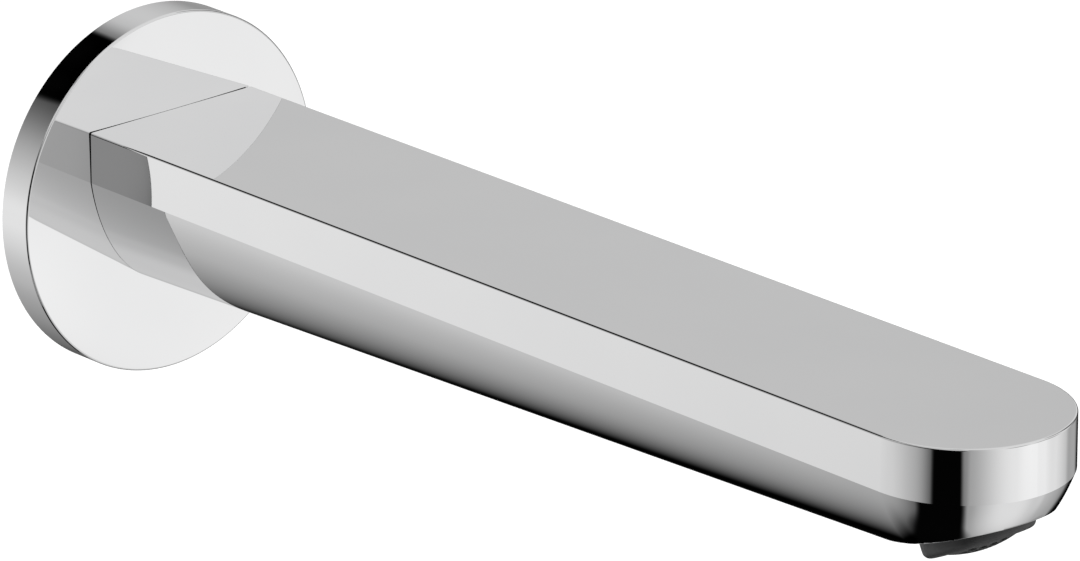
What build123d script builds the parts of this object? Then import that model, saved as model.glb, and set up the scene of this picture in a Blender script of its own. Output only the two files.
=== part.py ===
from build123d import *
import os
from math import cos, radians, sin, sqrt, tan

# Wall-mounted bath spout. The origin is the middle of the wall plate, on the wall.
# +X runs out of the wall along the spout, +Z is up. All sizes are in millimetres.

# Spout body, outside
spout_reach = 202.8
body_width = 33.84
top_height = 14.04
top_edge_round = 0.35
wall_side_height = 8.5
wall_depth = 28.4
wall_break_angle = 8.3
wall_side_pull = 0.53
wall_bottom_pull = 0.54
nose_side_height = 8.8
nose_depth = 22.6
nose_break_angle = 21.0
nose_side_pull = 0.3
nose_bottom_pull = 0.7
chin_setback = 3.1
chin_depth = 13.9
underside_tilt = 18.5

# Spout body, inside
casting_wall = 2.6
socket_depth = 39.0
socket_floor = 3.0
throat_diameter = 16.0
socket_chamfer = 0.6

# Wall plate
plate_diameter = 60.0
plate_edge = 6.26
plate_crown = 0.59
plate_wall = 1.6
plate_edge_round = 0.35
seat_diameter = 27.0
hub_wall = 2.9
hub_wall_gap = 0.8
hub_clearance = 0.3

# Seal behind the wall plate
seal_width = 3.0
seal_gap = 0.2

# Wall nipple
thread_diameter = 20.955
thread_length = 16.0
thread_chamfer = 1.0
barrel_diameter = 19.0
barrel_clearance = 0.1
barrel_end_gap = 2.0
barrel_chamfer = 0.8
nipple_bore = 11.5
hex_key_size = 12.0
hex_key_depth = 10.0

# Rubber rings on the nipple
ring_section = 2.0
ring_groove_width = 2.6
first_ring_place = 14.5
second_ring_place = 21.5
plate_ring_section = 1.6
plate_ring_groove_width = 2.0
ring_slack = 0.02

# Grub screw under the body, by the wall
grub_diameter = 5.0
grub_recess = 0.9
grub_place = 8.0
grub_tip_chamfer = 0.8
grub_key_size = 2.5
grub_key_depth = 2.5
grub_groove_depth = 1.1
grub_groove_slack = 0.4
grub_thread_clearance = 0.03

# Aerator seat, measured along the aerator's own tilted axis
aerator_tilt = 26.5
aerator_setback = 13.9
aerator_diameter = 17.5
aerator_projection = 2.9
aerator_thread_clearance = 0.03
boss_wall = 2.0
shoulder_thickness = 1.8
shoulder_bore = 13.6

# Aerator housing and its washer
housing_wall = 1.1
housing_lip = 1.4
housing_lip_bore = 12.0
housing_rim_round = 1.2
insert_clearance = 0.05
washer_thickness = 1.0
washer_bore = 13.2
washer_edge_gap = 0.1

# Spray grid
grid_flange = 1.2
grid_dome = 1.05
cell_size = 1.25
cell_pitch = 1.6
cell_rings = 3

# Jet disc
spacer_height = 1.7
spacer_wall = 1.0
jet_disc_thickness = 1.0
jet_count = 12
jet_diameter = 0.9
jet_circle = 9.0

# Flow regulator
regulator_height = 2.8
regulator_floor = 0.8
regulator_wall = 1.0
regulator_post = 4.4
regulator_ring_section = 1.8
port_count = 8
port_diameter = 1.0

# Strainer
strainer_flange = 1.0
strainer_diameter = 12.4
strainer_wall = 0.7
strainer_height = 4.6
strainer_round = 1.2
slot_count = 16
slot_width = 0.8
slot_foot = 0.9
slot_height = 2.0

# How near to a place an edge has to lie to count as being there
edge_reach = 0.01

# Sizes that follow from those above
half_width = body_width / 2
nose_x = spout_reach - half_width
plate_radius = plate_diameter / 2
crown_radius = (plate_radius ** 2 + plate_crown ** 2) / (2 * plate_crown)
barrel_radius = barrel_diameter / 2
socket_radius = barrel_radius + barrel_clearance
aerator_radius = aerator_diameter / 2
insert_radius = aerator_radius - housing_wall - insert_clearance


def crown_x(radius):
    """How far the slightly domed face of the wall plate stands off the wall."""
    return plate_edge + plate_crown - crown_radius + sqrt(crown_radius ** 2 - radius ** 2)


# Places along the spout
seat_x = crown_x(seat_diameter / 2)
plate_inner_x = plate_edge - plate_wall
socket_end_x = seat_x + socket_depth
core_x = socket_end_x + socket_floor
barrel_end_x = socket_end_x - barrel_end_gap
grub_x = seat_x + grub_place

# The belly rises evenly from the wall to the nose, and the grub screw stops short of its skin
belly_rise = (wall_depth - nose_depth) / (nose_x - seat_x)
grub_tip_z = grub_groove_depth - barrel_radius
grub_foot_z = top_height - wall_depth + belly_rise * grub_place + grub_recess
grub_length = grub_tip_z - grub_foot_z

# The flat that ends the belly under the nose, facing out and down
chin_x = spout_reach - chin_setback
chin_z = top_height - chin_depth
underside_lean = radians(underside_tilt)
underside_along = (cos(underside_lean), 0, sin(underside_lean))
underside_out = (sin(underside_lean), 0, -cos(underside_lean))
underside = Plane(origin=(chin_x, 0, chin_z), x_dir=underside_along, z_dir=underside_out)

# The aerator's own plane: its origin is the middle of its mouth, its Z runs up into the spout
mouth_x = spout_reach - aerator_setback
mouth_z = chin_z - (chin_x - mouth_x) * tan(underside_lean)
aerator_lean = radians(aerator_tilt)
aerator_across = (cos(aerator_lean), 0, sin(aerator_lean))
aerator_up = (-sin(aerator_lean), 0, cos(aerator_lean))
aerator_plane = Plane(origin=(mouth_x, 0, mouth_z), x_dir=aerator_across, z_dir=aerator_up)

# Heights of the pieces stacked in the aerator, from its rim upwards
rim_z = -aerator_projection
lip_z = rim_z + housing_lip
grid_z = lip_z + grid_flange
disc_z = grid_z + spacer_height
regulator_z = disc_z + jet_disc_thickness
strainer_z = regulator_z + regulator_height
housing_z = strainer_z + strainer_flange
shoulder_z = housing_z + washer_thickness
boss_z = shoulder_z + shoulder_thickness


def across(x):
    """A plane square to the spout at a distance from the wall, seen from the nose."""
    return Plane(origin=(x, 0, 0), x_dir=(0, 1, 0), z_dir=(1, 0, 0))


def edges_at(shape, axis, place):
    """The edges whose middle lies at one place along an axis."""
    return shape.edges().filter_by_position(axis, place - edge_reach, place + edge_reach)


def rod(radius, start, end):
    """A round bar about the spout's axis."""
    return extrude(across(start) * Circle(radius), end - start)


def sleeve(inner, outer, start, end):
    """A round tube about the spout's axis."""
    return extrude(across(start) * (Circle(outer) - Circle(inner)), end - start)


def ring_on_axis(x, bore_radius, section):
    """A rubber ring about the spout's axis, lying on a given radius."""
    return across(x) * Torus(bore_radius + section / 2, section / 2)


def disc(radius, start, end):
    """A round disc about the aerator's axis."""
    return Pos(0, 0, start) * extrude(Circle(radius), end - start)


def collar(inner, outer, start, end):
    """A round tube about the aerator's axis."""
    return Pos(0, 0, start) * extrude(Circle(outer) - Circle(inner), end - start)


def flank_profile(width, top, side_height, depth, break_angle, side_pull, bottom_pull):
    """Half a cross-section: flat top, upright side, a sharp crease and the curved belly."""
    crease = top - side_height
    bottom = top - depth
    drop = crease - bottom
    lean = radians(break_angle)
    below_crease = (width - side_pull * drop * sin(lean), crease - side_pull * drop * cos(lean))
    beside_bottom = (bottom_pull * width, bottom)
    roof = Line((0, top), (width, top))
    side = Line((width, top), (width, crease))
    belly = Bezier((width, crease), below_crease, beside_bottom, (0, bottom))
    middle = Line((0, bottom), (0, top))
    return make_face([roof, side, belly, middle])


def spout_form(start, wall_form, nose_form):
    """The tapering bar from the wall, ended by a nose turned about an upright axis."""
    flank = loft([across(start) * flank_profile(*wall_form), across(nose_x) * flank_profile(*nose_form)])
    turning_plane = Plane(origin=(nose_x, 0, 0), x_dir=(0, -1, 0), z_dir=(-1, 0, 0))
    nose = revolve(turning_plane * flank_profile(*nose_form), Axis((nose_x, 0, 0), (0, 0, 1)), 180)
    return flank + mirror(flank, Plane.XZ) + nose


def below_underside(lift):
    """All that lies below the underside, or below a level lifted off it into the spout."""
    reach = 2 * spout_reach
    return underside * Pos(0, 0, -lift) * extrude(Rectangle(reach, reach), reach)


def outer_body():
    """The chromed outside of the casting."""
    wall_form = (half_width, top_height, wall_side_height, wall_depth)
    wall_form += (wall_break_angle, wall_side_pull, wall_bottom_pull)
    nose_form = (half_width, top_height, nose_side_height, nose_depth)
    nose_form += (nose_break_angle, nose_side_pull, nose_bottom_pull)
    body = spout_form(seat_x, wall_form, nose_form) - below_underside(0)
    top_edges = edges_at(body, Axis.Z, top_height)
    rounded = [edge for edge in top_edges if edge.center().X > seat_x + top_edge_round]
    return fillet(rounded, top_edge_round)


def waterway():
    """The cored hollow of the casting, with the outlet boss left standing in it."""
    inside = half_width - casting_wall
    roof = top_height - casting_wall
    wall_form = (inside, roof, wall_side_height - casting_wall, wall_depth - 2 * casting_wall)
    wall_form += (wall_break_angle, wall_side_pull, wall_bottom_pull)
    nose_form = (inside, roof, nose_side_height - casting_wall, nose_depth - 2 * casting_wall)
    nose_form += (nose_break_angle, nose_side_pull, nose_bottom_pull)
    core = spout_form(seat_x, wall_form, nose_form) - below_underside(casting_wall)
    core -= rod(plate_radius, 0, core_x)
    boss = disc(aerator_radius + boss_wall, -boss_z, boss_z)
    return core - aerator_plane.location * boss


def spout_body():
    """Brass casting with a socket for the nipple and a tilted seat for the aerator."""
    body = outer_body() - waterway()
    body -= rod(socket_radius, seat_x, socket_end_x)
    body -= rod(throat_diameter / 2, socket_end_x, core_x + socket_floor)
    mouth = edges_at(body, Axis.X, seat_x).filter_by(GeomType.CIRCLE)
    body = chamfer(mouth, socket_chamfer)
    aerator_seat = disc(aerator_radius + aerator_thread_clearance, -boss_z, shoulder_z)
    body -= aerator_plane.location * aerator_seat
    body -= aerator_plane.location * disc(shoulder_bore / 2, shoulder_z, boss_z)
    grub_hole = Cylinder(grub_diameter / 2 + grub_thread_clearance, top_height + wall_depth)
    return body - Pos(grub_x, 0, -(top_height + wall_depth) / 2) * grub_hole


def wall_plate():
    """Turned brass cover with a faintly domed face, a hollow back and a hub over the nipple."""
    hub_radius = barrel_radius + hub_clearance
    seat_radius = seat_diameter / 2
    middle_radius = (seat_radius + plate_radius) / 2
    seat_edge = (seat_x, seat_radius)
    front_edge = (plate_edge, plate_radius)
    face = ThreePointArc(seat_edge, (crown_x(middle_radius), middle_radius), front_edge)
    back = Polyline(
        front_edge,
        (0, plate_radius),
        (0, plate_radius - plate_wall),
        (plate_inner_x, plate_radius - plate_wall),
        (plate_inner_x, hub_radius + hub_wall),
        (hub_wall_gap, hub_radius + hub_wall),
        (hub_wall_gap, hub_radius),
        (seat_x, hub_radius),
        seat_edge,
    )
    plate = revolve(Plane.XZ * make_face([face, back]), Axis.X)
    rim = edges_at(plate, Axis.X, plate_edge)
    plate = fillet(rim, plate_edge_round)
    groove_start = plate_ring_x() - plate_ring_groove_width / 2
    groove_end = plate_ring_x() + plate_ring_groove_width / 2
    return plate - rod(barrel_radius + plate_ring_section + ring_slack, groove_start, groove_end)


def plate_ring_x():
    """Where the plate's rubber ring sits, in the middle of the hub."""
    return (hub_wall_gap + seat_x) / 2


def plate_ring():
    """Rubber ring that holds the wall plate on the nipple's barrel."""
    return ring_on_axis(plate_ring_x(), barrel_radius, plate_ring_section)


def plate_seal():
    """Foam ring pressed between the wall and the back of the plate."""
    outer = plate_radius - plate_wall - seal_gap
    return sleeve(outer - seal_width, outer, 0, plate_inner_x)


def wall_nipple():
    """Brass nipple: pipe thread into the wall, plain barrel with grooves into the spout."""
    thread = rod(thread_diameter / 2, -thread_length, 0)
    thread_end = edges_at(thread, Axis.X, -thread_length)
    barrel = rod(barrel_radius, 0, barrel_end_x)
    barrel_end = edges_at(barrel, Axis.X, barrel_end_x)
    nipple = chamfer(thread_end, thread_chamfer) + chamfer(barrel_end, barrel_chamfer)
    nipple -= rod(nipple_bore / 2, -thread_length, barrel_end_x)
    key = RegularPolygon(hex_key_size / 2, 6, major_radius=False)
    nipple -= extrude(across(barrel_end_x - hex_key_depth) * key, hex_key_depth)
    floor = socket_radius - ring_section - ring_slack
    for place in (first_ring_place, second_ring_place):
        start = seat_x + place - ring_groove_width / 2
        nipple -= sleeve(floor, socket_radius, start, start + ring_groove_width)
    groove_half = (grub_diameter + grub_groove_slack) / 2
    groove_floor = barrel_radius - grub_groove_depth
    return nipple - sleeve(groove_floor, socket_radius, grub_x - groove_half, grub_x + groove_half)


def nipple_ring(place):
    """Rubber ring that seals the nipple's barrel in the spout's socket."""
    return ring_on_axis(seat_x + place, socket_radius - ring_section - ring_slack / 2, ring_section)


def grub_screw():
    """Steel socket screw, up through the belly against the groove in the nipple."""
    shank = extrude(Circle(grub_diameter / 2), -grub_length)
    tip = edges_at(shank, Axis.Z, 0)
    screw = chamfer(tip, grub_tip_chamfer)
    key = RegularPolygon(grub_key_size / 2, 6, major_radius=False)
    screw -= Pos(0, 0, -grub_length) * extrude(key, grub_key_depth)
    return Pos(grub_x, 0, grub_tip_z) * screw


def aerator_housing():
    """Moulded sleeve screwed into the nose, with an inner lip that holds the stack."""
    shell = collar(aerator_radius - housing_wall, aerator_radius, rim_z, housing_z)
    shell += collar(housing_lip_bore / 2, aerator_radius, rim_z, lip_z)
    rim = edges_at(shell, Axis.Z, rim_z)
    return fillet(rim.sort_by(SortBy.RADIUS)[-1], housing_rim_round)


def aerator_washer():
    """Flat rubber washer between the housing and the shoulder of its seat."""
    return collar(washer_bore / 2, aerator_radius - washer_edge_gap, housing_z, shoulder_z)


def spray_grid():
    """Domed honeycomb that parts the stream into fine strands."""
    dome_radius = housing_lip_bore / 2 - insert_clearance
    sphere_radius = (dome_radius ** 2 + grid_dome ** 2) / (2 * grid_dome)
    sphere_z = rim_z - grid_dome + sphere_radius
    plug = disc(dome_radius, rim_z - grid_dome, lip_z)
    plug &= Pos(0, 0, sphere_z) * Sphere(sphere_radius)
    grid = plug + disc(insert_radius, lip_z, grid_z)
    cells = Sketch()
    for row in range(-cell_rings, cell_rings + 1):
        cells_in_row = 2 * cell_rings + 1 - abs(row)
        for place in range(cells_in_row):
            x = (place - (cells_in_row - 1) / 2) * cell_pitch
            y = row * cell_pitch * sqrt(3) / 2
            cells += Pos(x, y) * RegularPolygon(cell_size / 2, 6, major_radius=False, rotation=30)
    return grid - Pos(0, 0, rim_z - grid_dome) * extrude(cells, grid_z - rim_z + grid_dome)


def jet_disc():
    """Moulded disc whose fine holes turn the flow into jets that draw in air."""
    piece = disc(insert_radius, disc_z, regulator_z)
    piece += collar(insert_radius - spacer_wall, insert_radius, grid_z, disc_z)
    jets = PolarLocations(jet_circle / 2, jet_count) * Circle(jet_diameter / 2)
    return piece - Pos(0, 0, disc_z) * extrude(Sketch() + jets, jet_disc_thickness)


def regulator_body():
    """Moulded cup with a post, its ports let the water past the rubber ring."""
    piece = disc(insert_radius, regulator_z, regulator_z + regulator_floor)
    piece += collar(insert_radius - regulator_wall, insert_radius, regulator_z, strainer_z)
    piece += disc(regulator_post / 2, regulator_z, strainer_z)
    ports = PolarLocations(jet_circle / 2, port_count) * Circle(port_diameter / 2)
    return piece - Pos(0, 0, regulator_z) * extrude(Sketch() + ports, regulator_floor)


def regulator_ring():
    """Rubber ring round the post, squeezed shut as the pressure rises."""
    section_radius = regulator_ring_section / 2
    middle_radius = regulator_post / 2 + ring_slack + section_radius
    middle_z = regulator_z + regulator_floor + ring_slack + section_radius
    return Pos(0, 0, middle_z) * Torus(middle_radius, section_radius)


def strainer():
    """Slotted dirt catcher that stands up into the waterway."""
    cup_radius = strainer_diameter / 2
    top_z = housing_z + strainer_height
    cup = disc(cup_radius, housing_z, top_z)
    cup = fillet(edges_at(cup, Axis.Z, top_z), strainer_round)
    piece = cup + disc(insert_radius, strainer_z, housing_z)
    piece -= disc(cup_radius - strainer_wall, strainer_z, top_z - strainer_wall)
    slot = Box(cup_radius, slot_width, slot_height, align=(Align.MIN, Align.CENTER, Align.MIN))
    slots = PolarLocations(cup_radius / 2, slot_count) * slot
    return piece - Pos(0, 0, housing_z + slot_foot) * (Part() + slots)


on_spout = {
    "spout_body": spout_body(),
    "wall_plate": wall_plate(),
    "plate_ring": plate_ring(),
    "plate_seal": plate_seal(),
    "wall_nipple": wall_nipple(),
    "front_nipple_ring": nipple_ring(second_ring_place),
    "rear_nipple_ring": nipple_ring(first_ring_place),
    "grub_screw": grub_screw(),
}

in_aerator = {
    "aerator_housing": aerator_housing(),
    "aerator_washer": aerator_washer(),
    "spray_grid": spray_grid(),
    "jet_disc": jet_disc(),
    "regulator_body": regulator_body(),
    "regulator_ring": regulator_ring(),
    "strainer": strainer(),
}

os.makedirs("parts", exist_ok=True)
for name, piece in on_spout.items():
    export_step(piece, f"parts/{name}.step")
for name, piece in in_aerator.items():
    export_step(aerator_plane.location * piece, f"parts/{name}.step")
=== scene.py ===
from math import cos, pi, radians, sin, sqrt, tan

import bpy
from mathutils import Matrix, Vector


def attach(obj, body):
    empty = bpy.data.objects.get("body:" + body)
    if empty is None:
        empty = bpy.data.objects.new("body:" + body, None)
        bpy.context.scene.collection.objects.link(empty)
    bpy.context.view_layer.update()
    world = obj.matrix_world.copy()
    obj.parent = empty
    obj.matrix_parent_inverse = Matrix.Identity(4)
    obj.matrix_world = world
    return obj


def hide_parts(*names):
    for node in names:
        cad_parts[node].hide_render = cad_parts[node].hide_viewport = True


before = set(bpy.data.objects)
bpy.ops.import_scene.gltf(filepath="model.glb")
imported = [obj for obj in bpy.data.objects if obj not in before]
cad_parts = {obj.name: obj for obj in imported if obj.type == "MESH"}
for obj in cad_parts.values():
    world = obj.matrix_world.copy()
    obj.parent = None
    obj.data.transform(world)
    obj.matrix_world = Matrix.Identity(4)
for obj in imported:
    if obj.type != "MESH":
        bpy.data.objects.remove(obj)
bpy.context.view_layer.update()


# The studio
# A white room for the camera. The chrome mirrors another room, of soft-edged round
# patches of one tone, each laid over those before it. A separate program fitted their
# places, widths and tones until the reflections came near the photograph's.
scene = bpy.context.scene
scene.view_settings.view_transform = "Standard"


def add_node(tree, kind, inputs=None, **settings):
    """A shader node with its settings, and numbers or other nodes' outputs on its inputs."""
    made = tree.nodes.new("ShaderNode" + kind)
    for key, value in settings.items():
        setattr(made, key, value)
    for socket, value in (inputs or {}).items():
        if isinstance(value, bpy.types.NodeSocket):
            tree.links.new(value, made.inputs[socket])
        else:
            made.inputs[socket].default_value = value
    return made


room_tone = -2.766
studio_cards = [
    # azimuth, elevation, full to this angle, soft for this much more, tone as it shows
    (-134.2, 0.6, 12.3, 166.7, 0.940),
    (149.7, 46.5, 0.0, 86.5, -0.323),
    (31.7, -17.1, 95.8, 4.7, 0.043),
    (48.0, 0.6, 86.9, 5.7, 0.612),
    (118.2, -4.5, 0.0, 40.5, 0.085),
    (-105.6, 23.2, 24.1, 5.1, 1.020),
    (31.2, -1.7, 0.0, 77.2, 0.952),
    (129.3, 37.5, 9.2, 30.2, 0.758),
    (46.1, -4.9, 0.0, 24.7, 0.624),
    (-177.1, 21.2, 24.8, 1.6, -0.475),
    (49.4, 57.8, 18.8, 48.4, 0.871),
    (-65.2, 38.5, 20.6, 1.4, 0.858),
    (159.6, 75.6, 26.8, 3.3, 0.840),
    (38.5, -36.7, 0.0, 29.1, 1.018),
    (171.0, -3.8, 0.0, 48.6, 1.021),
    (176.6, -23.0, 0.0, 26.3, -0.500),
    (100.4, -22.0, 0.0, 17.5, 0.653),
    (176.9, 24.1, 4.4, 20.0, -0.195),
    (116.0, 20.3, 11.8, 4.9, 0.847),
    (28.4, -49.5, 0.0, 29.7, 0.439),
    (-179.0, 0.6, 31.1, 17.2, 0.883),
    (126.5, -40.1, 0.0, 20.3, -0.080),
    (28.5, -53.8, 0.0, 32.6, 0.892),
    (-177.8, -23.6, 0.0, 35.6, 0.691),
    (-102.0, 10.3, 0.0, 40.5, 0.520),
    (11.4, -4.1, 5.1, 12.8, 0.639),
    (-131.0, -77.7, 0.0, 20.2, 0.045),
    (116.9, -60.0, 21.7, 0.6, 0.593),
    (-71.0, 5.1, 0.0, 26.9, 0.080),
    (87.5, 23.2, 0.0, 17.4, 0.357),
    (-129.5, -29.1, 0.0, 14.9, 0.835),
    (-118.3, -4.1, 0.0, 21.3, 0.711),
    (74.4, 35.5, 8.7, 2.5, 0.550),
    (15.5, -40.0, 0.0, 19.5, 0.822),
    (-41.7, -18.7, 0.0, 5.8, 0.559),
    (-153.5, 47.1, 0.0, 11.9, 0.097),
    (-69.6, -47.9, 11.6, 1.0, 0.620),
    (42.0, -18.3, 4.6, 2.8, 0.954),
    (-45.7, 20.0, 10.8, 1.3, 0.586),
    (-98.1, 30.4, 0.0, 9.9, 0.294),
    (-93.0, 54.0, 8.0, 18.0, 0.750),
]
display_gamma = 2.2
white = (1.0, 1.0, 1.0, 1.0)
matt_surfaces_get = 0.80

world = bpy.data.worlds.new("studio")
scene.world = world
world.use_nodes = True
tree = world.node_tree
tree.nodes.clear()
direction = add_node(tree, "TexCoord").outputs["Generated"]
tone = room_tone
for azimuth, elevation, full, soft, card_tone in studio_cards:
    level = cos(radians(elevation))
    toward = (level * cos(radians(azimuth)), level * sin(radians(azimuth)), sin(radians(elevation)))
    facing = add_node(tree, "VectorMath", {0: direction, 1: toward}, operation="DOT_PRODUCT")
    edge = {"From Min": cos(radians(full + soft)), "From Max": cos(radians(full))}
    edge["Value"] = facing.outputs["Value"]
    covered = add_node(tree, "MapRange", edge, interpolation_type="SMOOTHSTEP").outputs["Result"]
    tone = add_node(tree, "Mix", {0: covered, 2: tone, 3: card_tone}).outputs[0]
shown = add_node(tree, "Math", {0: tone, 1: 0.0}, operation="MAXIMUM").outputs[0]
light = add_node(tree, "Math", {0: shown, 1: display_gamma}, operation="POWER").outputs[0]
mirrored = add_node(tree, "Background", {"Color": light}).outputs[0]
soft_light = add_node(tree, "Background", {"Color": white, "Strength": matt_surfaces_get}).outputs[0]
seen = add_node(tree, "Background", {"Color": white}).outputs[0]
path = add_node(tree, "LightPath").outputs
unseen = add_node(tree, "MixShader", {0: path["Is Diffuse Ray"], 1: mirrored, 2: soft_light}).outputs[0]
sky = add_node(tree, "MixShader", {0: path["Is Camera Ray"], 1: unseen, 2: seen}).outputs[0]
add_node(tree, "OutputWorld", {"Surface": sky})

# Two large soft boxes, above to the left and low to the right, for all that isn't chrome
soft_boxes = [
    # place, metres across, watts
    ((0.5, -1.1, 1.3), 1.4, 20.0),
    ((1.2, 0.9, 0.4), 1.0, 7.0),
]
for place, size, power in soft_boxes:
    bpy.ops.object.light_add(type="AREA", location=place)
    lamp = bpy.context.object
    lamp.rotation_euler = Vector(place).to_track_quat("Z", "Y").to_euler()
    lamp.data.shape = "DISK"
    lamp.data.size = size
    lamp.data.energy = power
    lamp.visible_glossy = False

# The pale floor, well below the spout and seen from above only
floor_size = 14
floor_z = -0.30
camera_sees_more = 0.20
bpy.ops.mesh.primitive_plane_add(size=floor_size, location=(0, 0, floor_z))
floor = bpy.context.object
floor.name = "floor"
floor.visible_glossy = False
floor_paint = bpy.data.materials.new("floor_paint")
floor_paint.use_nodes = True
tree = floor_paint.node_tree
tree.nodes.clear()
speckle = add_node(tree, "TexNoise", {"Scale": 3.0, "Detail": 4.0}).outputs["Fac"]
pale = add_node(tree, "MapRange", {"Value": speckle, "To Min": 0.88, "To Max": 0.92}).outputs["Result"]
matt = add_node(tree, "BsdfDiffuse", {"Color": pale}).outputs[0]
for_camera = add_node(tree, "LightPath").outputs["Is Camera Ray"]
lift = add_node(tree, "Math", {0: for_camera, 1: camera_sees_more}, operation="MULTIPLY").outputs[0]
glow = add_node(tree, "Emission", {"Strength": lift}).outputs[0]
lit = add_node(tree, "AddShader", {0: matt, 1: glow}).outputs[0]
clear = add_node(tree, "BsdfTransparent").outputs[0]
below = add_node(tree, "NewGeometry").outputs["Backfacing"]
both = add_node(tree, "MixShader", {0: below, 1: lit, 2: clear}).outputs[0]
add_node(tree, "OutputMaterial", {"Surface": both})
floor.data.materials.append(floor_paint)


# The camera
# A long lens out in the room to the front left of the spout, looking a little down
# on it. Its place, aim and length were fitted to the spout's outline in the photograph.
camera_place = (1.0493, -0.8738, 0.4892)
camera_back = Vector((0.69172, -0.6328, 0.34796))
camera_lens = 299.43
bpy.ops.object.camera_add(location=camera_place)
camera = bpy.context.object
camera.rotation_euler = camera_back.to_track_quat("Z", "Y").to_euler()
camera.data.sensor_width = 36.0
camera.data.lens = camera_lens
camera.data.clip_start = 0.01
camera.data.clip_end = 50.0
scene.camera = camera


# Wall nipple
# A brass nipple turned from bar. Its G1/2 thread screws into the wall's fitting, and
# the spout slides on its barrel, which has grooves for two rubber rings and the grub
# screw. A hexagon in its mouth takes the key.
bpy.ops.object.select_all(action="DESELECT")

# Sizes are in millimetres from here on, and places are counted from the wall
mm = 0.001
tiny = 0.0001 * mm
sliver = 0.001 * mm
seat_x = 6.731
barrel_end = seat_x + 37.0
barrel_radius = 9.5
barrel_chamfer = 0.8
bore_radius = 5.75
neck_profile = ((-0.6, 8.8), (0.4, 9.3), (0.6, barrel_radius))
groove_round = 0.15
grooves = (
    # distance from the plate's face, half width, radius of the floor
    (8.0, 2.7, 8.4),
    (14.5, 1.3, 7.58),
    (21.5, 1.3, 7.58),
)
pipe_radius = 10.4775
pipe_pitch = 1.814
pipe_thread_length = 16.0
thread_chamfer = 1.0
thread_run_out = 1.2
thread_root_radius = 9.2
blank_core = 0.5
key_size = 12.0
key_depth = 10.0
clear_of_wall_end = -20.0
clear_of_barrel = 60.0


def turned(name, profile, steps):
    """A closed section, as places along the axis and radii, spun into a lathe-turned piece."""
    bpy.ops.mesh.primitive_circle_add(vertices=len(profile))
    piece = bpy.context.object
    piece.name = name
    for vertex, (x, radius) in zip(piece.data.vertices, profile):
        vertex.co = (x * mm, 0, radius * mm)
    bpy.ops.object.mode_set(mode="EDIT")
    bpy.ops.mesh.select_all(action="SELECT")
    bpy.ops.mesh.spin(steps=steps, angle=2 * pi, center=(0, 0, 0), axis=(1, 0, 0))
    bpy.ops.mesh.select_all(action="SELECT")
    bpy.ops.mesh.remove_doubles(threshold=sliver)
    bpy.ops.mesh.delete_loose()
    bpy.ops.mesh.select_all(action="SELECT")
    bpy.ops.mesh.normals_make_consistent(inside=False)
    bpy.ops.object.mode_set(mode="OBJECT")
    return piece


def finish(piece, kind, **settings):
    """A modifier put on a piece and applied at once."""
    bpy.ops.object.select_all(action="DESELECT")
    piece.select_set(True)
    bpy.context.view_layer.objects.active = piece
    modifier = piece.modifiers.new(kind.lower(), kind)
    for key, value in settings.items():
        setattr(modifier, key, value)
    bpy.ops.object.modifier_apply(modifier=modifier.name)


def work(piece, tool, operation="DIFFERENCE"):
    """One solid cut from, added to or kept within a piece. Its faces there take the tool's material."""
    finish(piece, "BOOLEAN", object=tool, operation=operation, solver="EXACT", material_mode="TRANSFER")
    mesh = tool.data
    bpy.data.objects.remove(tool)
    bpy.data.meshes.remove(mesh)


def bar(radius, start, end, corners=96):
    """A round bar, or one with flats, about the spout's axis."""
    middle = ((start + end) / 2 * mm, 0, 0)
    bpy.ops.mesh.primitive_cylinder_add(vertices=corners, radius=radius * mm, depth=(end - start) * mm,
                                        location=middle, rotation=(0, pi / 2, 0))
    bpy.ops.object.transform_apply()
    return bpy.context.object


def screw_thread(name, radius, pitch, start, end, steps=72):
    """A solid rod with a helical thread of rounded crests and roots, cut square at its ends."""
    depth = 0.64 * pitch
    spare_turns = 2
    # share of the pitch, share of the depth
    slope = ((0.0, 0.0), (0.06, 0.03), (0.11, 0.12), (0.39, 0.88), (0.44, 0.97), (0.5, 1.0))
    profile = [(share * pitch, radius - depth + rise * depth) for share, rise in slope]
    profile += [((1 - share) * pitch, radius - depth + rise * depth) for share, rise in reversed(slope[:-1])]
    bpy.ops.mesh.primitive_circle_add(vertices=len(profile))
    rod = bpy.context.object
    rod.name = name
    for vertex, (x, r) in zip(rod.data.vertices, profile):
        vertex.co = ((start - spare_turns * pitch + x) * mm, 0, r * mm)
    bpy.ops.object.mode_set(mode="EDIT")
    bpy.ops.mesh.select_all(action="DESELECT")
    bpy.ops.object.mode_set(mode="OBJECT")
    for end_vertex in (rod.data.vertices[0], rod.data.vertices[-1]):
        end_vertex.select = True
    bpy.ops.object.mode_set(mode="EDIT")
    bpy.ops.mesh.delete(type="EDGE_FACE")
    bpy.ops.object.mode_set(mode="OBJECT")
    turns = int((end - start) / pitch) + 2 * spare_turns
    finish(rod, "SCREW", axis="X", angle=2 * pi, screw_offset=pitch * mm, iterations=turns, steps=steps,
           render_steps=steps)
    bpy.ops.object.mode_set(mode="EDIT")
    bpy.ops.mesh.select_all(action="SELECT")
    bpy.ops.mesh.remove_doubles(threshold=sliver)
    for place, side in ((start, -1), (end, 1)):
        bpy.ops.mesh.select_all(action="SELECT")
        bpy.ops.mesh.bisect(plane_co=(place * mm, 0, 0), plane_no=(side, 0, 0), use_fill=True,
                            clear_outer=True, threshold=tiny)
    bpy.ops.mesh.select_all(action="SELECT")
    bpy.ops.mesh.normals_make_consistent(inside=False)
    bpy.ops.object.mode_set(mode="OBJECT")
    return rod


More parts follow.
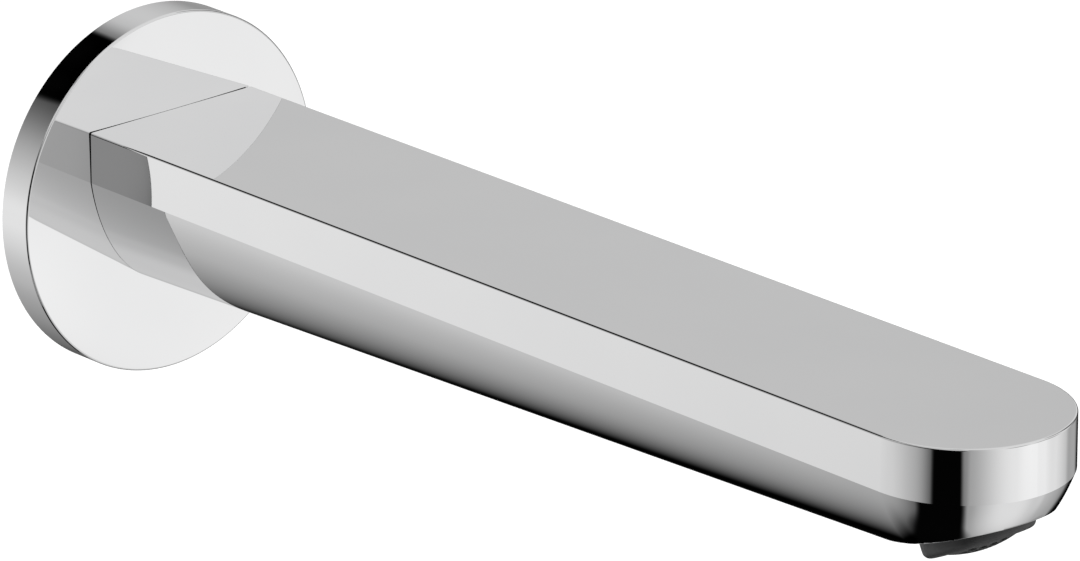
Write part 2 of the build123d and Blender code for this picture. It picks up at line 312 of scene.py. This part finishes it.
def smooth(piece, angle):
    """The cuts' slivers closed up, then soft shading over the curves, with edges past an angle kept sharp."""
    bpy.ops.object.select_all(action="DESELECT")
    piece.select_set(True)
    bpy.context.view_layer.objects.active = piece
    bpy.ops.object.mode_set(mode="EDIT")
    bpy.ops.mesh.select_all(action="SELECT")
    bpy.ops.mesh.remove_doubles(threshold=sliver)
    bpy.ops.mesh.dissolve_degenerate(threshold=sliver)
    bpy.ops.object.mode_set(mode="OBJECT")
    bpy.ops.object.shade_smooth_by_angle(angle=radians(angle), keep_sharp_edges=True)
    finish(piece, "WEIGHTED_NORMAL", keep_sharp=True, weight=80)


def fit(piece, slot, *nodes):
    """A finished piece rides on the spout and stands for its CAD nodes. The slot it names is not used."""
    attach(piece, "root")
    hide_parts(*nodes)
    bpy.ops.object.select_all(action="DESELECT")


def new_material(name, **constants):
    """A material, its tree and its shader, with the numbers that are the same all over it."""
    made = bpy.data.materials.new(name)
    made.use_nodes = True
    shader = made.node_tree.nodes["Principled BSDF"]
    for socket, value in constants.items():
        shader.inputs[socket].default_value = value
    return made, made.node_tree, shader


def new_group(name, numbers, outputs, place=False):
    """An empty node group with named numbers, and if asked a place, going in and masks coming out."""
    group = bpy.data.node_groups.new(name, "ShaderNodeTree")
    if place:
        group.interface.new_socket("Place", in_out="INPUT", socket_type="NodeSocketVector")
    for socket, value in numbers.items():
        number = group.interface.new_socket(socket, in_out="INPUT", socket_type="NodeSocketFloat")
        number.default_value = value
    for socket in outputs:
        group.interface.new_socket(socket, in_out="OUTPUT", socket_type="NodeSocketFloat")
    return group, group.nodes.new("NodeGroupInput").outputs, group.nodes.new("NodeGroupOutput").inputs


def blend_colours(tree, share, dark, pale):
    """A colour between two, by a mask."""
    return add_node(tree, "Mix", {0: share, 6: (*dark, 1.0), 7: (*pale, 1.0)}, data_type="RGBA").outputs[2]


def spread(tree, mask, low, high, start=0.3, end=0.7):
    """The middle of a mask's range drawn out to run from one number to another."""
    span = {"From Min": start, "From Max": end, "To Min": low, "To Max": high}
    return add_node(tree, "MapRange", {"Value": mask, **span}).outputs[0]


def wire(tree, shader, colour, roughness=None, height=None, depth=0.0):
    """A shader's colour and, where they vary, its roughness and a relief of some depth in millimetres."""
    tree.links.new(colour, shader.inputs["Base Color"])
    if roughness is not None:
        tree.links.new(roughness, shader.inputs["Roughness"])
    if height is not None:
        relief = add_node(tree, "Bump", {"Height": height, "Distance": depth * mm})
        tree.links.new(relief.outputs["Normal"], shader.inputs["Normal"])


# Grain: fine specks of a size in millimetres, and broad clouds eight times that size
clouds_to_specks = 0.125
grain_group, given, result = new_group("grain", {"Size": 1.0}, ["Specks", "Clouds"])
where = add_node(grain_group, "TexCoord").outputs["Object"]
fine = add_node(grain_group, "Math", {0: 1.0 / mm, 1: given["Size"]}, operation="DIVIDE").outputs[0]
broad = add_node(grain_group, "Math", {0: fine, 1: clouds_to_specks}, operation="MULTIPLY").outputs[0]
for scale, detail, socket in ((fine, 3.0, "Specks"), (broad, 2.0, "Clouds")):
    noise = add_node(grain_group, "TexNoise", {"Vector": where, "Scale": scale, "Detail": detail})
    grain_group.links.new(noise.outputs["Fac"], result[socket])

# Tool marks: the fine rings that a lathe leaves round a place's X axis, a pitch in millimetres apart
marks_group, given, result = new_group("tool_marks", {"Pitch": 0.2}, ["Height"], place=True)
place = given["Place"]
across = (0.0, 1.0, 1.0)
off_axis = add_node(marks_group, "VectorMath", {0: place, 1: across}, operation="MULTIPLY").outputs[0]
radius = add_node(marks_group, "VectorMath", {0: off_axis}, operation="LENGTH").outputs["Value"]
along = add_node(marks_group, "SeparateXYZ", {0: place}).outputs["X"]
travel = add_node(marks_group, "Math", {0: along, 1: radius}, operation="ADD").outputs[0]
turn_count = add_node(marks_group, "Math", {0: travel, 1: given["Pitch"]}, operation="DIVIDE").outputs[0]
turn_count = add_node(marks_group, "Math", {0: turn_count, 1: 1.0 / mm}, operation="MULTIPLY").outputs[0]
ring_noise = {"W": turn_count, "Scale": 1.0, "Detail": 2.0}
rings = add_node(marks_group, "TexNoise", ring_noise, noise_dimensions="1D")
marks_group.links.new(rings.outputs["Fac"], result["Height"])

# Bare brass from the lathe, a little browned where it has been handled
fresh_brass = (0.80, 0.60, 0.30)
browned_brass = (0.60, 0.41, 0.18)
turned_brass, tree, shader = new_material("turned_brass", Metallic=1.0)
grain = add_node(tree, "Group", {"Size": 1.2}, node_tree=grain_group).outputs
where = add_node(tree, "TexCoord").outputs["Object"]
marks = add_node(tree, "Group", {"Place": where, "Pitch": 0.16}, node_tree=marks_group).outputs["Height"]
tarnish = spread(tree, grain["Clouds"], 0.0, 1.0)
colour = blend_colours(tree, tarnish, fresh_brass, browned_brass)
wire(tree, shader, colour, spread(tree, grain["Specks"], 0.18, 0.34), height=marks, depth=0.012)

# Moulded rubber: black, with the fine bloom and pimples of its mould
rubber_black = (0.012, 0.012, 0.013)
rubber_bloom = (0.032, 0.032, 0.034)
black_rubber, tree, shader = new_material("black_rubber")
grain = add_node(tree, "Group", {"Size": 0.2}, node_tree=grain_group).outputs
bloom = spread(tree, grain["Clouds"], 0.0, 1.0)
colour = blend_colours(tree, bloom, rubber_black, rubber_bloom)
wire(tree, shader, colour, spread(tree, grain["Specks"], 0.50, 0.68), height=grain["Specks"], depth=0.02)

nipple = screw_thread("threaded_nipple", pipe_radius, pipe_pitch, -pipe_thread_length, 0.0)
wall_end = -pipe_thread_length
blank = [(wall_end, blank_core), (wall_end, pipe_radius - thread_chamfer)]
blank += [(wall_end + thread_chamfer, pipe_radius), (-thread_run_out, pipe_radius)]
blank += [(0.0, thread_root_radius), (0.0, blank_core)]
work(nipple, turned("blank", blank, steps=96), "INTERSECT")
barrel = [(neck_profile[0][0], blank_core), *neck_profile]
for place, half, floor_radius in grooves:
    start, end = seat_x + place - half, seat_x + place + half
    corner = floor_radius + groove_round
    barrel += [(start, barrel_radius), (start, corner), (start + groove_round, floor_radius)]
    barrel += [(end - groove_round, floor_radius), (end, corner), (end, barrel_radius)]
barrel += [(barrel_end - barrel_chamfer, barrel_radius), (barrel_end, barrel_radius - barrel_chamfer)]
barrel += [(barrel_end, blank_core)]
work(nipple, turned("barrel", barrel, steps=96), "UNION")
work(nipple, bar(key_size / 2 / cos(pi / 6), barrel_end - key_depth, clear_of_barrel, corners=6))
work(nipple, bar(bore_radius, clear_of_wall_end, clear_of_barrel))
smooth(nipple, angle=35)
nipple.data.materials.clear()
nipple.data.materials.append(turned_brass)
fit(nipple, "turned_brass", "wall_nipple")
for node in ("rear_nipple_ring", "front_nipple_ring"):
    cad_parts[node].material_slots[0].material = black_rubber


# Wall plate
# The round cover plate, turned from brass and chromed. Its face is very slightly
# domed, its back hollow, and a hub inside holds it on the nipple with a rubber ring.
plate_edge = 6.26
plate_radius = 30.0
plate_crown = 0.59
plate_round = 0.35
edge_flatness = 1.25
edge_steps = 12
face_steps = 12
rim_middle = 3.0
rim_back_round = 0.15
hollow_radius = 28.4
hollow_depth = 4.66
hollow_lip_round = 0.1
hollow_corner = 0.3
hollow_floor_middle = 20.0
seat_radius = 13.5
seat_middle = 11.6
hub_bore = 9.8
hub_radius = 12.7
hub_back = 0.8
hub_round = 0.2
hub_lead_in = 0.3
ring_groove_start = 2.7655
ring_groove_end = 4.7655
ring_groove_radius = 11.12
crown_radius = (plate_radius ** 2 + plate_crown ** 2) / (2 * plate_crown)


def crown_x(radius):
    """How far the domed face of the plate stands off the wall."""
    return plate_edge + plate_crown - crown_radius + sqrt(crown_radius ** 2 - radius ** 2)


inner_radius = plate_radius - plate_round
face_lean = inner_radius / crown_radius
corner_x = crown_x(inner_radius) - plate_round
# The seat, the domed face and the rounded front edge
section = [(seat_x, hub_bore), (seat_x, seat_middle), (seat_x, seat_radius)]
for k in range(1, face_steps):
    radius = seat_radius + (inner_radius - seat_radius) * k / face_steps
    section.append((crown_x(radius), radius))
for k in range(edge_steps + 1):
    turn = face_lean + (pi / 2 - face_lean) * k / edge_steps
    across, outward = max(cos(turn), 0) ** edge_flatness, sin(turn) ** edge_flatness
    section.append((corner_x + plate_round * across, inner_radius + plate_round * outward))
# The rim, the hollow in the back, and the hub with its ring groove
section += [(rim_middle, plate_radius), (rim_back_round, plate_radius), (0.0, plate_radius - rim_back_round)]
section += [(0.0, hollow_radius + hollow_lip_round), (hollow_lip_round, hollow_radius)]
section += [(hollow_depth - hollow_corner, hollow_radius), (hollow_depth, hollow_radius - hollow_corner)]
section += [(hollow_depth, hollow_floor_middle)]
section += [(hollow_depth, hub_radius + hollow_corner), (hollow_depth - hollow_corner, hub_radius)]
section += [(hub_back + hub_round, hub_radius), (hub_back, hub_radius - hub_round)]
section += [(hub_back, hub_bore + hub_lead_in), (hub_back + hub_lead_in, hub_bore)]
section += [(ring_groove_start, hub_bore), (ring_groove_start, ring_groove_radius)]
section += [(ring_groove_end, ring_groove_radius), (ring_groove_end, hub_bore)]
plate = turned("cover_plate", section, steps=256)
smooth(plate, angle=25)

# Polished chrome: a mirror with a slow haze of handling and hair-fine wiping marks
chrome_grey = (0.898, 0.899, 0.903)
chrome_bright = (0.914, 0.914, 0.916)
wiped_along_spout = (0.04, 1.0, 1.0)
polished_chrome, tree, shader = new_material("polished_chrome", Metallic=1.0)
grain = add_node(tree, "Group", {"Size": 2.5}, node_tree=grain_group).outputs
where = add_node(tree, "TexCoord").outputs["Object"]
drawn_out = add_node(tree, "Mapping", {0: where, 3: wiped_along_spout}).outputs[0]
wiped = add_node(tree, "TexNoise", {"Vector": drawn_out, "Scale": 2200.0, "Detail": 3.0}).outputs["Fac"]
haze = spread(tree, grain["Clouds"], 0.010, 0.022)
hairs = spread(tree, wiped, 0.0, 0.010, start=0.55, end=0.75)
gloss = add_node(tree, "Math", {0: haze, 1: hairs}, operation="ADD").outputs[0]
tint = spread(tree, grain["Clouds"], 0.0, 1.0)
wire(tree, shader, blend_colours(tree, tint, chrome_grey, chrome_bright), gloss)

# The plate's back, where the plating is thin and dull over the lathe's rings
dull_nickel = (0.60, 0.58, 0.54)
stained_nickel = (0.44, 0.41, 0.35)
thin_nickel, tree, shader = new_material("thin_nickel", Metallic=1.0)
grain = add_node(tree, "Group", {"Size": 1.6}, node_tree=grain_group).outputs
where = add_node(tree, "TexCoord").outputs["Object"]
marks = add_node(tree, "Group", {"Place": where, "Pitch": 0.22}, node_tree=marks_group).outputs["Height"]
stain = spread(tree, grain["Clouds"], 0.0, 1.0)
colour = blend_colours(tree, stain, dull_nickel, stained_nickel)
wire(tree, shader, colour, spread(tree, grain["Specks"], 0.26, 0.42), height=marks, depth=0.012)

plate.data.materials.append(polished_chrome)
plate.data.materials.append(thin_nickel)
past_floor, past_wall, past_bore = 0.2, 0.08, 0.05
for face in plate.data.polygons:
    out = Vector((0, face.center.y, face.center.z)).length / mm
    in_hollow = face.center.x < (hollow_depth + past_floor) * mm and out < hollow_radius + past_wall
    in_bore = out < hub_bore + past_bore
    face.material_index = 1 if in_hollow or in_bore else 0
fit(plate, "polished_chrome", "wall_plate")
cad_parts["plate_ring"].material_slots[0].material = black_rubber


# Plate seal
# A ring of grey closed-cell foam, cut with rounded edges and stuck in the hollow of the
# plate, that the plate presses on the tiles to keep water out of the wall.
seal_inner = 25.2
seal_outer = 28.2
seal_corner = 0.7
seal_turn_steps = 5
skin_waves = 1.6
skin_depth = 0.16

seal_section = []
near, far = seal_corner, hollow_depth - seal_corner
low, high = seal_inner + seal_corner, seal_outer - seal_corner
for quarter, (x, radius) in enumerate(((far, high), (near, high), (near, low), (far, low))):
    for k in range(seal_turn_steps + 1):
        turn = pi / 2 * (quarter + k / seal_turn_steps)
        seal_section.append((x + seal_corner * cos(turn), radius + seal_corner * sin(turn)))
seal = turned("foam_seal", seal_section, steps=200)
bpy.ops.object.mode_set(mode="EDIT")
bpy.ops.mesh.select_all(action="SELECT")
bpy.ops.mesh.subdivide(number_cuts=1)
bpy.ops.object.mode_set(mode="OBJECT")
cut_skin = bpy.data.textures.new("foam_skin", "CLOUDS")
cut_skin.noise_scale = skin_waves * mm
finish(seal, "DISPLACE", texture=cut_skin, strength=skin_depth * mm, mid_level=1.0, texture_coords="LOCAL")
smooth(seal, angle=60)

# Foam: open pores on the cut faces, with painted shade darkening the bottom of each pore
pore_painted_shade = (0.045, 0.046, 0.050)
foam_pale = (0.16, 0.165, 0.17)
grey_foam, tree, shader = new_material("grey_foam", Roughness=0.95)
where = add_node(tree, "TexCoord").outputs["Object"]
cells = add_node(tree, "TexVoronoi", {"Vector": where, "Scale": 1300.0}).outputs["Distance"]
pore_depth_and_shade = spread(tree, cells, 0.0, 1.0, start=0.05, end=0.6)
# The pores' depth sinks the relief and also paints shade into their bottoms
wire(tree, shader, blend_colours(tree, pore_depth_and_shade, pore_painted_shade, foam_pale), height=pore_depth_and_shade, depth=0.12)
seal.data.materials.append(grey_foam)
fit(seal, "grey_foam", "plate_seal")


# Spout body
# A hollow brass casting, ground to its sharp crease and flat top, then polished and
# chromed. The wall end is bored for the nipple and seats on a low boss, so that a hair
# line shows round it at the plate. The nose is bored for the aerator.
nose_x = 185.869
half_width = 16.92
top_z = 14.04
top_round = 0.35
underside_lean = radians(18.5)
underside_out = Vector((sin(underside_lean), 0, -cos(underside_lean)))
chin_x = 199.7
chin_z = 0.14
chin = Vector((chin_x, 0, chin_z)) * mm
# half width, top, height of the side, depth, break at the crease, pull of the side and of the bottom
wall_form = (half_width, top_z, 8.5, 28.4, 8.3, 0.53, 0.54)
nose_form = (half_width, top_z, 8.8, 22.6, 21.0, 0.3, 0.7)
casting_wall = 2.6
seam = 0.06
seat_boss_radius = 12.5
seat_boss_height = 1.0
lip_step = 0.15
lip_bevel = 0.12
socket_radius = 9.6
socket_end = barrel_end + 2.0
throat_radius = 8.0
throat_start = 45.0
throat_end = socket_end + 6.0
core_start = throat_end - 3.0
round_steps = 8
belly_steps = 34
flank_steps = 36
nose_steps = 128


def half_section(width, top, side_height, depth, break_angle, side_pull, bottom_pull):
    """From the middle of the top, round one side and its crease, to the middle of the belly."""
    crease = top - side_height
    bottom = top - depth
    lean = radians(break_angle)
    reach = side_pull * (crease - bottom)
    points = [(0.0, top), (width / 2, top)]
    for k in range(round_steps + 1):
        turn = pi / 2 * k / round_steps
        points.append((width - top_round * (1 - sin(turn)), top - top_round * (1 - cos(turn))))
    points.append((width, (top + crease) / 2))
    below_crease = (width - reach * sin(lean), crease - reach * cos(lean))
    corners = ((width, crease), below_crease, (bottom_pull * width, bottom), (0, bottom))
    for k in range(belly_steps + 1):
        t = k / belly_steps
        shares = ((1 - t) ** 3, 3 * t * (1 - t) ** 2, 3 * t * t * (1 - t), t ** 3)
        points.append(tuple(sum(share * corner[i] for share, corner in zip(shares, corners)) for i in (0, 1)))
    return points


def inside(form):
    """The form of the hollow, the casting's wall in from the outer form all round."""
    width, top, side_height, depth, *curve = form
    wall = casting_wall
    return width - wall, top - wall, side_height - wall, depth - 2 * wall, *curve


def spout_skin(name, start, wall_form, nose_form):
    """A grid wrapped down one flank, round the nose and back up the other, closed at the wall."""
    wall, nose = half_section(*wall_form), half_section(*nose_form)
    rows = []
    for k in range(flank_steps):
        x = start + k / flank_steps * (nose_x - start)
        share = (x - seat_x) / (nose_x - seat_x)
        rows.append([(x, a + share * (c - a), b + share * (d - b)) for (a, b), (c, d) in zip(wall, nose)])
    far_rows = [[(x, -y, z) for x, y, z in row] for row in reversed(rows)]
    for k in range(nose_steps + 1):
        turn = pi * k / nose_steps
        rows.append([(nose_x + y * sin(turn), y * cos(turn), z) for y, z in nose])
    rows += far_rows
    bpy.ops.mesh.primitive_grid_add(x_subdivisions=len(nose) - 1, y_subdivisions=len(rows) - 1)
    skin = bpy.context.object
    skin.name = name
    for vertex, place in zip(skin.data.vertices, (place for row in rows for place in row)):
        vertex.co = Vector(place) * mm
    bpy.ops.object.mode_set(mode="EDIT")
    bpy.ops.mesh.select_all(action="SELECT")
    bpy.ops.mesh.remove_doubles(threshold=sliver)
    bpy.ops.mesh.select_mode(type="EDGE")
    bpy.ops.mesh.select_all(action="DESELECT")
    bpy.ops.mesh.select_non_manifold()
    bpy.ops.mesh.edge_face_add()
    bpy.ops.mesh.select_all(action="SELECT")
    bpy.ops.mesh.normals_make_consistent(inside=False)
    bpy.ops.mesh.select_mode(type="VERT")
    bpy.ops.object.mode_set(mode="OBJECT")
    return skin


def trim(piece, place, outward):
    """All of a piece past a plane cut away, and the cut closed. The new face stays selected."""
    bpy.context.view_layer.objects.active = piece
    bpy.ops.object.mode_set(mode="EDIT")
    bpy.ops.mesh.select_all(action="SELECT")
    bpy.ops.mesh.bisect(plane_co=place, plane_no=outward, use_fill=True, clear_outer=True, threshold=tiny)
    bpy.ops.object.mode_set(mode="OBJECT")


body = spout_skin("spout_casting", seat_x + seam, wall_form, nose_form)
trim(body, chin, underside_out)
bpy.ops.object.mode_set(mode="EDIT")
bpy.ops.mesh.select_mode(type="EDGE")
bpy.ops.mesh.region_to_loop()
bpy.ops.mesh.remove_doubles(threshold=lip_step * mm)
bpy.ops.mesh.bevel(offset=lip_bevel * mm, segments=3, affect="EDGES", clamp_overlap=True)
bpy.ops.mesh.select_mode(type="VERT")
bpy.ops.object.mode_set(mode="OBJECT")
body.data.materials.append(polished_chrome)

core = spout_skin("core", seat_x, inside(wall_form), inside(nose_form))
trim(core, chin - underside_out * casting_wall * mm, underside_out)
trim(core, (core_start * mm, 0, 0), (-1, 0, 0))

# The aerator's own axis: its mouth lies on the underside, and it leans towards the wall
aerator_lean = radians(26.5)
mouth_x = 188.9
mouth = Vector((mouth_x, 0, chin_z - (chin_x - mouth_x) * tan(underside_lean))) * mm
aerator_place = Matrix.Translation(mouth) @ Matrix.Rotation(-aerator_lean, 4, "Y")


def plug(radius, start, end, corners=128):
    """A round bar about the aerator's axis, between two heights above its mouth."""
    bpy.ops.mesh.primitive_cylinder_add(vertices=corners, radius=radius * mm, depth=(end - start) * mm,
                                        location=(0, 0, (start + end) / 2 * mm))
    made = bpy.context.object
    made.data.transform(Matrix.Translation(made.location))
    made.location = (0, 0, 0)
    made.data.transform(aerator_place)
    return made


# Inside, the casting keeps its sand-rough skin, and the bores are bright from the drill
sand_shade = (0.24, 0.16, 0.08)
sand_light = (0.52, 0.38, 0.20)
cast_brass, tree, shader = new_material("cast_brass", Metallic=1.0)
grain = add_node(tree, "Group", {"Size": 0.45}, node_tree=grain_group).outputs
sand = spread(tree, grain["Specks"], 0.0, 1.0)
colour = blend_colours(tree, sand, sand_shade, sand_light)
wire(tree, shader, colour, spread(tree, grain["Clouds"], 0.42, 0.62), height=grain["Specks"], depth=0.06)

# The aerator's bores, as radii and heights above its mouth, and the grub screw's hole
below_mouth = -9.0
outlet_boss_radius = 10.75
outlet_boss_top = 9.0
aerator_bore_radius = 8.78
aerator_bore_top = 7.2
outlet_radius = 6.8
outlet_start = 7.0
outlet_end = 9.5
grub_x = seat_x + 8.0
grub_hole_radius = 2.53
grub_hole_length = 14
grub_hole_middle = -13.5

core.data.materials.append(cast_brass)
work(core, plug(outlet_boss_radius, below_mouth, outlet_boss_top))
seat_boss = bar(seat_boss_radius, seat_x, seat_x + seat_boss_height)
seat_boss.data.materials.append(turned_brass)
work(body, seat_boss, "UNION")
work(body, core)
bpy.ops.mesh.primitive_cylinder_add(vertices=48, radius=grub_hole_radius * mm, depth=grub_hole_length * mm,
                                    location=(grub_x * mm, 0, grub_hole_middle * mm))
grub_hole = bpy.context.object
socket = bar(socket_radius, seat_x - 1.0, socket_end)
throat = bar(throat_radius, throat_start, throat_end)
aerator_bore = plug(aerator_bore_radius, below_mouth, aerator_bore_top)
outlet = plug(outlet_radius, outlet_start, outlet_end)
for cutter in (socket, throat, aerator_bore, outlet, grub_hole):
    cutter.data.materials.append(turned_brass)
    work(body, cutter)

# The crease stays sharp to the eye all round the spout
crease_at_wall = 5.54
crease_fall = 0.3
off_crease = 0.005


def crease_height(x):
    """How high the crease between side and belly runs, at a distance from the wall."""
    share = min((x / mm - seat_x) / (nose_x - seat_x), 1.0)
    return (crease_at_wall - crease_fall * share) * mm


for edge in body.data.edges:
    ends = [body.data.vertices[i].co for i in edge.vertices]
    if all(abs(end.z - crease_height(end.x)) < off_crease * mm for end in ends):
        on_side = max(abs(end.y) for end in ends) > half_width * mm * 0.5
        edge.use_edge_sharp = on_side or ends[0].x > nose_x * mm
smooth(body, angle=30)
fit(body, "polished_chrome", "spout_body")


# Grub screw
# A stainless M5 socket screw, driven up through the belly by the wall, that bears on the
# nipple's groove and holds the spout. Its foot lies just inside the skin of the belly.
grub_radius = 2.5
grub_pitch = 0.8
grub_foot = -13.2
grub_tip = -8.4
grub_length = grub_tip - grub_foot
grub_chamfer = 0.3
grub_point = 0.8
grub_key_size = 2.5
grub_key_depth = 2.5

grub = screw_thread("socket_grub_screw", grub_radius, grub_pitch, 0.0, grub_length, steps=48)
blank = [(0.0, 0.0), (0.0, grub_radius - grub_chamfer), (grub_chamfer, grub_radius)]
blank += [(grub_length - grub_point, grub_radius), (grub_length, grub_radius - grub_point)]
blank += [(grub_length, 0.0)]
work(grub, turned("grub_blank", blank, steps=48), "INTERSECT")
work(grub, bar(grub_key_size / 2 / cos(pi / 6), -1.0, grub_key_depth, corners=6))
upright = Matrix.Rotation(-pi / 2, 4, "Y")
grub.data.transform(Matrix.Translation(Vector((grub_x, 0, grub_foot)) * mm) @ upright)
smooth(grub, angle=35)

# Stainless steel, grey and fine-turned round the screw's own upright axis
steel_pale = (0.50, 0.495, 0.49)
steel_dark = (0.34, 0.335, 0.33)
stainless, tree, shader = new_material("stainless_steel", Metallic=1.0)
grain = add_node(tree, "Group", {"Size": 0.5}, node_tree=grain_group).outputs
where = add_node(tree, "TexCoord").outputs["Object"]
on_screw = add_node(tree, "Mapping", {0: where, 1: (0, 0, grub_x * mm), 2: (0, pi / 2, 0)}).outputs[0]
marks = add_node(tree, "Group", {"Place": on_screw, "Pitch": 0.08}, node_tree=marks_group).outputs["Height"]
dull = spread(tree, grain["Clouds"], 0.0, 1.0)
colour = blend_colours(tree, dull, steel_pale, steel_dark)
wire(tree, shader, colour, spread(tree, grain["Specks"], 0.26, 0.42), height=marks, depth=0.006)
grub.data.materials.clear()
grub.data.materials.append(stainless)
fit(grub, "steel", "grub_screw")


# Aerator
# A moulded housing screwed up into the nose, its rounded collar left proud. A lip in it
# holds a domed honeycomb, the jet disc, the flow regulator with its ring, and a dirt
# strainer, and a rubber washer seals it at the top.
collar_radius = 8.75
collar_round = 1.2
collar_round_steps = 8
collar_top = 0.3
undercut_top = 0.8
rim = -2.9
lip = -1.5
housing_top = 6.2
housing_pitch = 1.0
housing_chamfer = 0.6
housing_bore = 7.65
lip_bore = 6.0
thread_start = -0.4
blank_start = -1.0
past_rim = -4.0
past_lip = 1.0
past_top = 8.0

housing = screw_thread("aerator_collar", collar_radius, housing_pitch, thread_start, housing_top)
collar = [(rim, 0.0)]
for k in range(collar_round_steps + 1):
    turn = pi / 2 * k / collar_round_steps
    collar.append((rim + collar_round * (1 - cos(turn)), collar_radius - collar_round * (1 - sin(turn))))
collar += [(collar_top, collar_radius), (undercut_top, collar_radius - housing_chamfer), (undercut_top, 0.0)]
blank = [(blank_start, 0.0), (blank_start, collar_radius), (housing_top - housing_chamfer, collar_radius)]
blank += [(housing_top, collar_radius - housing_chamfer), (housing_top, 0.0)]
work(housing, turned("housing_blank", blank, steps=96), "INTERSECT")
work(housing, turned("collar", collar, steps=96), "UNION")
work(housing, bar(housing_bore, lip, past_top))
work(housing, bar(lip_bore, past_rim, past_lip))
housing.data.transform(aerator_place @ upright)
smooth(housing, angle=35)

# Moulded plastics: the satin of a spark-eroded mould, and faint flow marks
plastics = [
    # slot, darker and paler colour, range of roughness, CAD nodes
    ("grey_plastic", (0.020, 0.0203, 0.0208), (0.030, 0.0303, 0.0310), (0.38, 0.52), ["spray_grid"]),
    ("white_plastic", (0.68, 0.68, 0.65), (0.76, 0.76, 0.74), (0.32, 0.46),
     ["jet_disc", "regulator_body", "strainer"]),
]
for name, dark, pale, gloss, nodes in plastics:
    plastic, tree, shader = new_material(name)
    grain = add_node(tree, "Group", {"Size": 0.12}, node_tree=grain_group).outputs
    where = add_node(tree, "TexCoord").outputs["Object"]
    swirls = {"Vector": where, "Scale": 180.0, "Detail": 2.0, "Distortion": 1.5}
    flow = spread(tree, add_node(tree, "TexNoise", swirls).outputs["Fac"], 0.0, 1.0)
    colour = blend_colours(tree, flow, dark, pale)
    wire(tree, shader, colour, spread(tree, grain["Clouds"], *gloss), height=grain["Specks"], depth=0.008)
    for node in nodes:
        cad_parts[node].material_slots[0].material = plastic
    if name == "grey_plastic":
        housing.data.materials.clear()
        housing.data.materials.append(plastic)
fit(housing, "grey_plastic", "aerator_housing")
for node in ("aerator_washer", "regulator_ring"):
    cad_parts[node].material_slots[0].material = black_rubber
